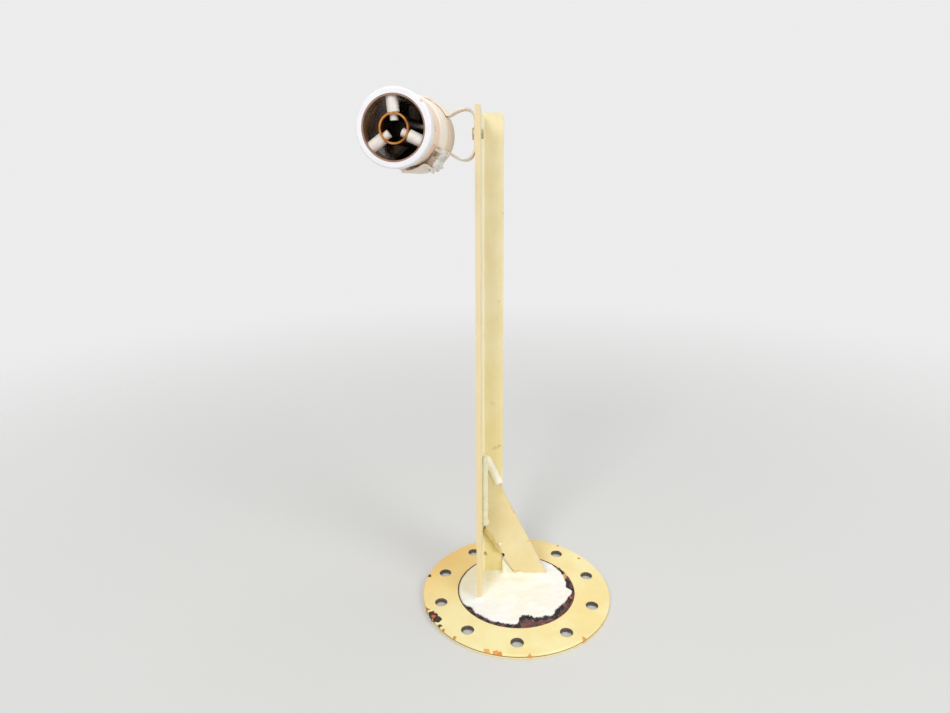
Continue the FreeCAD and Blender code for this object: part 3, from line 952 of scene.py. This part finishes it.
# Aluminium rivet under the post's primer, streaked dark all over.
RIVET = WornPrimer(
    name="rivet_primer",
    tone="#D8CBAA",
    second_tone="#B3A184",
    drift_mm=2.0,
    grain_mm=0.4,
    relief_mm=0.02,
    roughness=0.42,
    streak_mm=1.0,
    streak_tone="#5E4C40",
    streak_share=0.6,
)


@dataclass(frozen=True)
class PhotoCamera:
    """The camera that stands where the photograph was taken."""

    place_mm: Triple = (-6.448, -289.757, 214.406)
    heading_deg: float = 2.70
    pitch_deg: float = 16.69
    roll_deg: float = -0.495
    focal_px: float = 653.5
    frame_px: float = 950.0
    sensor_mm: float = 36.0
    near_m: float = 0.01
    far_m: float = 30.0

    def build(self) -> None:
        """Place the camera and make it the scene's own."""
        data = bpy.data.cameras.new("photo_camera")
        data.sensor_width = self.sensor_mm
        data.lens = self.focal_px / self.frame_px * self.sensor_mm
        data.clip_start = self.near_m
        data.clip_end = self.far_m
        camera = bpy.data.objects.new("photo_camera", data)
        bpy.context.scene.collection.objects.link(camera)
        heading = Matrix.Rotation(math.radians(self.heading_deg), 4, "Z")
        pitch = Matrix.Rotation(math.radians(90 - self.pitch_deg), 4, "X")
        roll = Matrix.Rotation(math.radians(self.roll_deg), 4, "Z")
        place = Matrix.Translation(metres(self.place_mm))
        camera.matrix_world = place @ heading @ pitch @ roll
        bpy.context.scene.camera = camera


@dataclass(frozen=True)
class SoftBox:
    """One soft lamp: where it stands, its size, power and tint."""

    name: str
    place_m: Triple
    size_m: float
    watts: float
    tint: str = "#FFFFFF"

    def build(self, target: Vector) -> None:
        """Place the lamp and aim it.

        Args:
            target: The point that it shines at, in metres.
        """
        data = bpy.data.lights.new(self.name, "AREA")
        data.shape = "DISK"
        data.size = self.size_m
        data.energy = self.watts
        data.color = linear(self.tint)[:3]
        lamp = bpy.data.objects.new(self.name, data)
        bpy.context.scene.collection.objects.link(lamp)
        lamp.location = Vector(self.place_m)
        lamp.rotation_euler = (target - lamp.location).to_track_quat("-Z", "Y").to_euler()


@dataclass
class Studio:
    """Pale floor, pale surround and soft lamps."""

    floor_m: float = 3.0
    floor_sides: int = 96
    floor_roughness: float = 0.8
    fade_near_m: float = 0.1
    fade_far_m: float = 0.75
    floor_tone: str = "#DCDCDA"
    surround: float = 0.84
    ambient: float = 0.5
    target_mm: Triple = (-10.0, 5.0, 120.0)
    lamps: tuple[SoftBox, ...] = (
        SoftBox("key_lamp", (-0.55, -1.15, 1.15), 0.55, 9.5),
        SoftBox("fill_lamp", (1.1, -0.9, 0.75), 0.8, 8.0),
        SoftBox("top_lamp", (0.1, 0.35, 1.5), 0.9, 4.0),
    )

    def build(self) -> None:
        """Make the floor, the surround and the lamps."""
        self.lay_floor()
        self.light_surround()
        for lamp in self.lamps:
            lamp.build(metres(self.target_mm))
        bpy.context.scene.view_settings.view_transform = "Standard"

    def lay_floor(self) -> None:
        """Lay a round floor that fades into the surround far away."""
        bpy.ops.mesh.primitive_circle_add(
            vertices=self.floor_sides, radius=self.floor_m, fill_type="NGON"
        )
        floor = bpy.context.object
        floor.name = "studio_floor"
        material = bpy.data.materials.new("studio_floor")
        material.use_nodes = True
        tree = material.node_tree
        shader = tree.nodes["Principled BSDF"]
        shader.inputs["Base Color"].default_value = linear(self.floor_tone)
        shader.inputs["Roughness"].default_value = self.floor_roughness
        place = add_node(tree, "ShaderNodeTexCoord").outputs["Object"]
        away = add_node(tree, "ShaderNodeVectorMath", {"operation": "LENGTH"}, {0: place})
        fade = add_node(
            tree,
            "ShaderNodeMapRange",
            {
                "interpolation_type": "SMOOTHSTEP",
                "From Min": self.fade_near_m,
                "From Max": self.fade_far_m,
            },
            {"Value": away.outputs[1]},
        )
        clear = add_node(tree, "ShaderNodeBsdfTransparent")
        mixed = add_node(
            tree,
            "ShaderNodeMixShader",
            {},
            {0: fade.outputs[0], 1: shader.outputs[0], 2: clear.outputs[0]},
        )
        tree.links.new(mixed.outputs[0], tree.nodes["Material Output"].inputs["Surface"])
        floor.data.materials.append(material)

    def light_surround(self) -> None:
        """Show a pale surround to the eye and mirrors, and dimmer light to the rest."""
        world = bpy.data.worlds.new("studio_surround")
        bpy.context.scene.world = world
        world.use_nodes = True
        tree = world.node_tree
        tree.nodes.clear()
        path = add_node(tree, "ShaderNodeLightPath")
        unbent = add_node(
            tree,
            "ShaderNodeMath",
            {"operation": "MAXIMUM"},
            {0: path.outputs["Is Camera Ray"], 1: path.outputs["Is Transmission Ray"]},
        )
        shown_to = add_node(
            tree,
            "ShaderNodeMath",
            {"operation": "MAXIMUM"},
            {0: unbent.outputs[0], 1: path.outputs["Is Glossy Ray"]},
        )
        tone = (self.surround, self.surround, self.surround, 1.0)
        shown = add_node(tree, "ShaderNodeBackground", {"Color": tone, "Strength": 1.0})
        lit = add_node(
            tree, "ShaderNodeBackground", {"Color": tone, "Strength": self.ambient / self.surround}
        )
        mixed = add_node(
            tree,
            "ShaderNodeMixShader",
            {},
            {0: shown_to.outputs[0], 1: lit.outputs[0], 2: shown.outputs[0]},
        )
        add_node(tree, "ShaderNodeOutputWorld", {}, {"Surface": mixed.outputs[0]})


@dataclass
class Dresser:
    """Builds each finish once and puts it on CAD nodes and new pieces."""

    nodes: dict[str, bpy.types.Object]
    made: dict[str, bpy.types.Material] = field(default_factory=dict)

    def material(self, finish: Finish) -> bpy.types.Material:
        """Return the finish's material, built at its first use."""
        if finish.name not in self.made:
            self.made[finish.name] = finish.build()
        return self.made[finish.name]

    def dress(self, piece: bpy.types.Object, finish: Finish) -> None:
        """Give a piece one finish all over.

        Args:
            piece: The piece to dress.
            finish: Its surface.
        """
        piece.data.materials.clear()
        piece.data.materials.append(self.material(finish))
        for polygon in piece.data.polygons:
            polygon.material_index = 0

    def dress_nodes(self, finish: Finish, *names: str) -> None:
        """Give several CAD nodes one finish."""
        for name in names:
            self.dress(self.nodes[name], finish)
            LOG.info("CAD node %s: %s", name, finish.name)


def focus(piece: bpy.types.Object) -> None:
    """Deselect everything and make one piece active and selected."""
    bpy.ops.object.select_all(action="DESELECT")
    piece.select_set(True)
    bpy.context.view_layer.objects.active = piece


def settle(piece: bpy.types.Object, slot: str, *nodes: str) -> None:
    """Tie a finished piece to the frame.

    Args:
        piece: The piece, in its place.
        slot: The record's material slot for the piece; it is not used.
        nodes: The CAD nodes that it stands for, if any.
    """
    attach(piece, "root")
    if nodes:
        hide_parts(*nodes)
    LOG.info("piece %s: %d faces", piece.name, len(piece.data.polygons))


@dataclass
class SealantRun:
    """One hand-laid run of sealant, softened and made uneven over its CAD shape."""

    node: str
    slot: str
    finish: Finish
    voxel_mm: float = 0.35
    weld_mm: float = 0.001
    smooth_steps: int = 6
    smooth_share: float = 0.6
    lump_mm: float = 3.5
    lump_depth_mm: float = 0.7
    swell: float = 0.45

    def build(self, dresser: Dresser) -> bpy.types.Object:
        """Build the run, dress it and tie it to the frame.

        Args:
            dresser: What puts finishes on pieces.

        Returns:
            The run.
        """
        piece = bpy.data.objects.new(f"{self.node}_laid", dresser.nodes[self.node].data.copy())
        bpy.context.scene.collection.objects.link(piece)
        focus(piece)
        bpy.ops.object.mode_set(mode="EDIT")
        bpy.ops.mesh.select_all(action="SELECT")
        bpy.ops.mesh.remove_doubles(threshold=self.weld_mm * MM)
        bpy.ops.mesh.normals_make_consistent(inside=False)
        bpy.ops.object.mode_set(mode="OBJECT")
        self.soften(piece)
        dresser.dress(piece, self.finish)
        bpy.ops.object.shade_smooth()
        settle(piece, self.slot, self.node)
        return piece

    def soften(self, piece: bpy.types.Object) -> None:
        """Remesh the copy, round its edges and raise its lumps.

        Args:
            piece: The copy of the CAD run.
        """
        remesh = piece.modifiers.new("skin", "REMESH")
        remesh.mode = "VOXEL"
        remesh.voxel_size = self.voxel_mm * MM
        smooth = piece.modifiers.new("slump", "SMOOTH")
        smooth.iterations = self.smooth_steps
        smooth.factor = self.smooth_share
        pattern = bpy.data.textures.new(f"{self.node}_lumps", "CLOUDS")
        pattern.noise_scale = self.lump_mm * MM
        lumps = piece.modifiers.new("lumps", "DISPLACE")
        lumps.texture = pattern
        lumps.strength = self.lump_depth_mm * MM
        lumps.mid_level = self.swell
        for name in ("skin", "slump", "lumps"):
            bpy.ops.object.modifier_apply(modifier=name)


@dataclass
class SealantDab:
    """A small blob of sealant that the nozzle left where it lifted."""

    name: str
    centre_mm: Triple
    radii_mm: Triple
    lump_mm: float = 1.3
    lump_share: float = 0.3
    lump_fall: float = 0.9
    lump_step: float = 2.0
    lump_layers: int = 3
    fineness: int = 5

    def build(self, dresser: Dresser) -> bpy.types.Object:
        """Build the blob, dress it and tie it to the frame.

        Args:
            dresser: What puts finishes on pieces.

        Returns:
            The blob.
        """
        bpy.ops.object.select_all(action="DESELECT")
        bpy.ops.mesh.primitive_ico_sphere_add(subdivisions=self.fineness, radius=MM)
        piece = bpy.context.object
        piece.name = self.name
        for vertex in piece.data.vertices:
            way = Vector(a * b for a, b in zip(vertex.co, self.radii_mm)) / MM
            spot = (way + Vector(self.centre_mm)) / self.lump_mm
            lumps = noise.fractal(spot, self.lump_fall, self.lump_step, self.lump_layers)
            swell = 1 + self.lump_share * lumps
            vertex.co = metres(self.centre_mm) + way * swell * MM
        dresser.dress(piece, RUN_SEALANT)
        bpy.ops.object.shade_smooth()
        settle(piece, "white_sealant")
        return piece


@dataclass
class TornCoat:
    """The white coat inside the window, torn away at the front right.

    Its mesh has no underside, and its faces point inwards.
    """

    base_mm: float = 1.15
    radius_mm: float = 29.4
    thick_mm: float = 1.5
    dome_mm: float = 0.5
    edge_mm: float = 0.9
    rim_points: int = 288
    rings: int = 44
    rim_steps: int = 4
    fray_mm: float = 0.35
    fray_pitch: float = 14.0
    fray_fall: float = 0.8
    fray_step: float = 2.2
    fray_layers: int = 4
    whole_rim_share: float = 0.3
    undercut_mm: float = 0.25
    undercut_per_mm: float = 0.9
    swirl_mm: float = 0.16
    swirl_per_mm: float = 0.28
    ripple_mm: float = 0.07
    ripple_per_mm: float = 0.8
    rim_drop_mm: float = 0.55
    fillet_mm: float = 0.9
    fillet_reach_mm: float = 1.5
    tear: tuple[tuple[float, float], ...] = TEAR

    def reach(self, degrees: float) -> float:
        """Work out how far the coat reaches.

        Args:
            degrees: Angle about the flange.

        Returns:
            The coat's radius in millimetres.
        """
        radius = self.radius_mm
        for (start, low), (end, high) in zip(self.tear, self.tear[1:]):
            if start <= degrees <= end:
                share = (degrees - start) / (end - start)
                radius = low + (high - low) * share * share * (3 - 2 * share)
        spot = Vector((math.cos(math.radians(degrees)), math.sin(math.radians(degrees)), 0))
        frayed = noise.fractal(
            spot * self.fray_pitch, self.fray_fall, self.fray_step, self.fray_layers
        )
        fine = frayed * self.fray_mm
        return radius + fine * (1.0 if radius < self.radius_mm else self.whole_rim_share)

    def build(self, dresser: Dresser) -> bpy.types.Object:
        """Build the coat, dress it and tie it to the frame.

        Args:
            dresser: What puts finishes on pieces.

        Returns:
            The coat.
        """
        bpy.ops.object.select_all(action="DESELECT")
        base = self.base_mm * MM
        bpy.ops.mesh.primitive_circle_add(
            vertices=self.rim_points,
            radius=self.radius_mm * MM,
            fill_type="NOTHING",
            location=(0, 0, base),
        )
        piece = bpy.context.object
        piece.name = "torn_coat"
        bpy.ops.object.transform_apply(location=True)
        bpy.ops.object.mode_set(mode="EDIT")
        bpy.ops.mesh.select_all(action="SELECT")
        rise = (0, 0, self.thick_mm * MM / self.rim_steps)
        for _ in range(self.rim_steps):
            bpy.ops.mesh.extrude_region_move(TRANSFORM_OT_translate={"value": rise})
        top = base + self.thick_mm * MM
        for ring in range(self.rings):
            share = (self.rings - ring - 0.5) / (self.rings - ring + 0.5)
            bpy.ops.mesh.extrude_region_move()
            bpy.ops.transform.resize(value=(share, share, 1), center_override=(0, 0, top))
        bpy.ops.mesh.edge_face_add()
        bpy.ops.mesh.select_all(action="DESELECT")
        bpy.ops.object.mode_set(mode="OBJECT")
        self.shape(piece)
        dresser.dress(piece, WHITE_SEALANT)
        focus(piece)
        bpy.ops.object.shade_smooth()
        settle(piece, "white_sealant", "seal_coat")
        return piece

    def shape(self, piece: bpy.types.Object) -> None:
        """Pull the rim to the torn outline and raise the trowelled top.

        Args:
            piece: The plain round coat.
        """
        for vertex in piece.data.vertices:
            x, y, z = (c / MM for c in vertex.co)
            radius = math.hypot(x, y)
            reach = self.reach(math.degrees(math.atan2(y, x)))
            share = radius / self.radius_mm
            rise = (z - self.base_mm) / self.thick_mm
            spot = Vector((x, y, 0))
            layer = spot * self.undercut_per_mm + Vector((0, 0, z))
            undercut = self.undercut_mm * noise.noise(layer)
            x, y = x * reach / self.radius_mm, y * reach / self.radius_mm
            edge = min(1.0, (1 - share) * reach / self.edge_mm)
            crown = math.sqrt(max(0.0, 1 - (1 - edge) ** 2))
            swirl = self.swirl_mm * noise.noise(spot * self.swirl_per_mm)
            swirl += self.ripple_mm * noise.noise(spot * self.ripple_per_mm)
            drop = self.rim_drop_mm * (1 - crown) * rise
            top = self.thick_mm * rise - drop + rise * crown * (
                self.dome_mm * (1 - share * share) + swirl + self.fillet(x, y)
            )
            bulge = 1 + undercut * (1 - edge) * rise / reach
            vertex.co = Vector((x * bulge, y * bulge, self.base_mm + top)) * MM

    def fillet(self, x: float, y: float) -> float:
        """Work out how far the coat climbs the post and the gusset.

        Args:
            x: Place across the flange in millimetres.
            y: Place along it in millimetres.

        Returns:
            The climb in millimetres.
        """
        nearest = min(
            math.hypot(max(x0 - x, 0, x - x1), max(y0 - y, 0, y - y1))
            for x0, y0, x1, y1 in FOOT_WALLS
        )
        return self.fillet_mm * math.exp(-((nearest / self.fillet_reach_mm) ** 2))


@dataclass
class BondResidue:
    """Dark sealant that squeezed out at the window's edge, lumpy where it tore.

    Its mesh has no underside, and its faces point inwards.
    """

    base_mm: float = 1.12
    inner_mm: float = 17.5
    outer_mm: float = 30.0
    rim_points: int = 400
    rings: int = 46
    lip_mm: float = 0.1
    least_mm: float = 0.03
    skin_mm: float = 0.18
    wave_mm: float = 0.16
    wave_per_mm: float = 0.9
    pimple_mm: float = 0.07
    pimple_per_mm: float = 2.3
    torn_by_mm: float = 0.8
    bead_per_mm: float = 1.15
    bead_shift: Triple = (7.0, 3.0, 1.0)
    bead_bias: float = 0.35
    ridge_out_mm: float = 0.9
    ridge_width_mm: float = 1.1
    ridge_torn_mm: float = 2.0
    ridge_whole_mm: float = 0.4
    squeeze_mm: float = 0.75
    squeeze_in_mm: float = 0.4
    squeeze_width_mm: float = 0.7

    def lump(self, x: float, y: float, radius: float, degrees: float) -> float:
        """Work out how thick the residue is.

        Args:
            x: Place across the flange in millimetres.
            y: Place along it in millimetres.
            radius: Distance from the flange's middle in millimetres.
            degrees: Angle about the flange.

        Returns:
            Its height above the plate in millimetres.
        """
        spot = Vector((x, y, 0))
        wave = self.wave_mm * noise.noise(spot * self.wave_per_mm)
        pimples = self.pimple_mm * noise.noise(spot * self.pimple_per_mm)
        skin = self.skin_mm + wave + pimples
        coat_edge = COAT.reach(degrees)
        torn = coat_edge < COAT.radius_mm - self.torn_by_mm
        pattern = noise.noise(spot * self.bead_per_mm + Vector(self.bead_shift))
        beads = max(0.0, pattern + self.bead_bias)
        off_ridge = (radius - coat_edge - self.ridge_out_mm) / self.ridge_width_mm
        height = self.ridge_torn_mm * beads if torn else self.ridge_whole_mm
        ridge = math.exp(-(off_ridge**2)) * height
        inwards = self.outer_mm - radius - self.squeeze_in_mm
        squeeze = self.squeeze_mm * math.exp(-((inwards / self.squeeze_width_mm) ** 2))
        return max(self.least_mm, skin + ridge + squeeze)

    def build(self, dresser: Dresser) -> bpy.types.Object:
        """Build the residue, dress it and tie it to the frame.

        Args:
            dresser: What puts finishes on pieces.

        Returns:
            The residue.
        """
        bpy.ops.object.select_all(action="DESELECT")
        bpy.ops.mesh.primitive_circle_add(
            vertices=self.rim_points,
            radius=self.outer_mm * MM,
            fill_type="NOTHING",
            location=(0, 0, self.base_mm * MM),
        )
        piece = bpy.context.object
        piece.name = "bond_residue"
        bpy.ops.object.transform_apply(location=True)
        bpy.ops.object.mode_set(mode="EDIT")
        bpy.ops.mesh.select_all(action="SELECT")
        lip = self.lip_mm * MM
        bpy.ops.mesh.extrude_region_move(TRANSFORM_OT_translate={"value": (0, 0, lip)})
        top = (self.base_mm + self.lip_mm) * MM
        step = (self.outer_mm - self.inner_mm) / self.rings
        for ring in range(self.rings):
            radius = self.outer_mm - step * ring
            share = (radius - step) / radius
            bpy.ops.mesh.extrude_region_move()
            bpy.ops.transform.resize(value=(share, share, 1), center_override=(0, 0, top))
        bpy.ops.mesh.extrude_region_move(TRANSFORM_OT_translate={"value": (0, 0, -lip)})
        bpy.ops.object.mode_set(mode="OBJECT")
        for vertex in piece.data.vertices:
            x, y, z = (c / MM for c in vertex.co)
            if z > self.base_mm + self.lip_mm / 2:
                radius = math.hypot(x, y)
                degrees = math.degrees(math.atan2(y, x))
                vertex.co.z = (self.base_mm + self.lump(x, y, radius, degrees)) * MM
        dresser.dress(piece, BOND_SEALANT)
        focus(piece)
        bpy.ops.object.shade_smooth()
        settle(piece, "bond_sealant", "bond_seal")
        return piece


COAT = TornCoat()


@dataclass
class Flange:
    """The two discs, the sealant between them and the coat over the window."""

    def build(self, dresser: Dresser) -> None:
        """Dress the discs and build the sealants."""
        dresser.dress_nodes(FLANGE_PRIMER, "base_plate", "mounting_ring")
        COAT.build(dresser)
        BondResidue().build(dresser)


@dataclass
class Post:
    """The angle post, its gusset and the runs of sealant on them."""

    runs: tuple[SealantRun, ...] = (
        SealantRun("gusset_top_bead", "white_sealant", RUN_SEALANT, swell=0.25),
        SealantRun("gusset_corner_bead", "white_sealant", SMEARED_SEALANT, lump_depth_mm=0.4),
        SealantRun("gusset_edge_bead", "olive_sealant", OLIVE_AND_SHADE_SEALANT, lump_depth_mm=0.5),
        SealantRun("foot_wedge", "white_sealant", SMEARED_SEALANT, smooth_steps=12),
    )

    # The first three follow lumps in the photograph, and the last two are guessed.
    dabs: tuple[SealantDab, ...] = (
        SealantDab("corner_dab", (-15.8, 16.0, 34.6), (1.5, 1.0, 2.2)),
        SealantDab("edge_dab", (-8.4, 13.3, 19.8), (0.9, 0.7, 1.0)),
        SealantDab("top_dab", (-9.0, 15.9, 54.6), (1.3, 0.9, 1.5)),
        SealantDab("foot_dab", (1.6, 10.9, 3.5), (2.2, 1.2, 1.2)),
        SealantDab("post_dab", (-20.6, 7.5, 3.2), (1.2, 2.6, 1.3)),
    )

    def build(self, dresser: Dresser) -> None:
        """Dress the extrusion and the plate and lay the runs."""
        dresser.dress_nodes(POST_PRIMER, "angle_post")
        dresser.dress_nodes(GUSSET_PRIMER, "gusset_plate")
        for run in self.runs:
            run.build(dresser)
        for dab in self.dabs:
            dab.build(dresser)


@dataclass
class Probe:
    """The housing, its two electrodes, their pins and the rear cap."""

    def build(self, dresser: Dresser) -> None:
        """Dress the probe's own pieces."""
        dresser.dress_nodes(SLEEVE_ENAMEL, "sleeve")
        dresser.dress_nodes(BRONZE, "outer_electrode")
        dresser.dress_nodes(COPPER, "inner_electrode")
        ends = ("front_pin_1", "front_pin_2", "front_pin_3")
        dresser.dress_nodes(PIN_NYLON, *ends, "rear_pin_1", "rear_pin_2", "rear_pin_3")
        dresser.dress_nodes(CAP_PLASTIC, "rear_cap")
        studs = ("terminal_stud_1", "terminal_stud_2")
        dresser.dress_nodes(PLATED_STEEL, *studs, "terminal_nut_1", "terminal_nut_2")


@dataclass
class Clamp:
    """The strap that holds the probe to the post, and its fasteners."""

    def build(self, dresser: Dresser) -> None:
        """Dress the strap and its fasteners."""
        dresser.dress_nodes(STRAP_ENAMEL, "clamp_strap")
        dresser.dress_nodes(PLATED_STEEL, "clamp_screw", "clamp_nut", "clamp_spacer")
        dresser.dress_nodes(RIVET, "strap_rivet")


def main() -> None:
    """Build the scene over the CAD frame."""
    logging.basicConfig(level=logging.INFO, format="%(message)s")
    bpy.ops.object.select_all(action="SELECT")
    bpy.ops.object.delete()
    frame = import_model()
    PhotoCamera().build()
    Studio().build()
    dresser = Dresser(frame["nodes"])
    Flange().build(dresser)
    Post().build(dresser)
    Probe().build(dresser)
    Clamp().build(dresser)


if __name__ == "__main__":
    main()
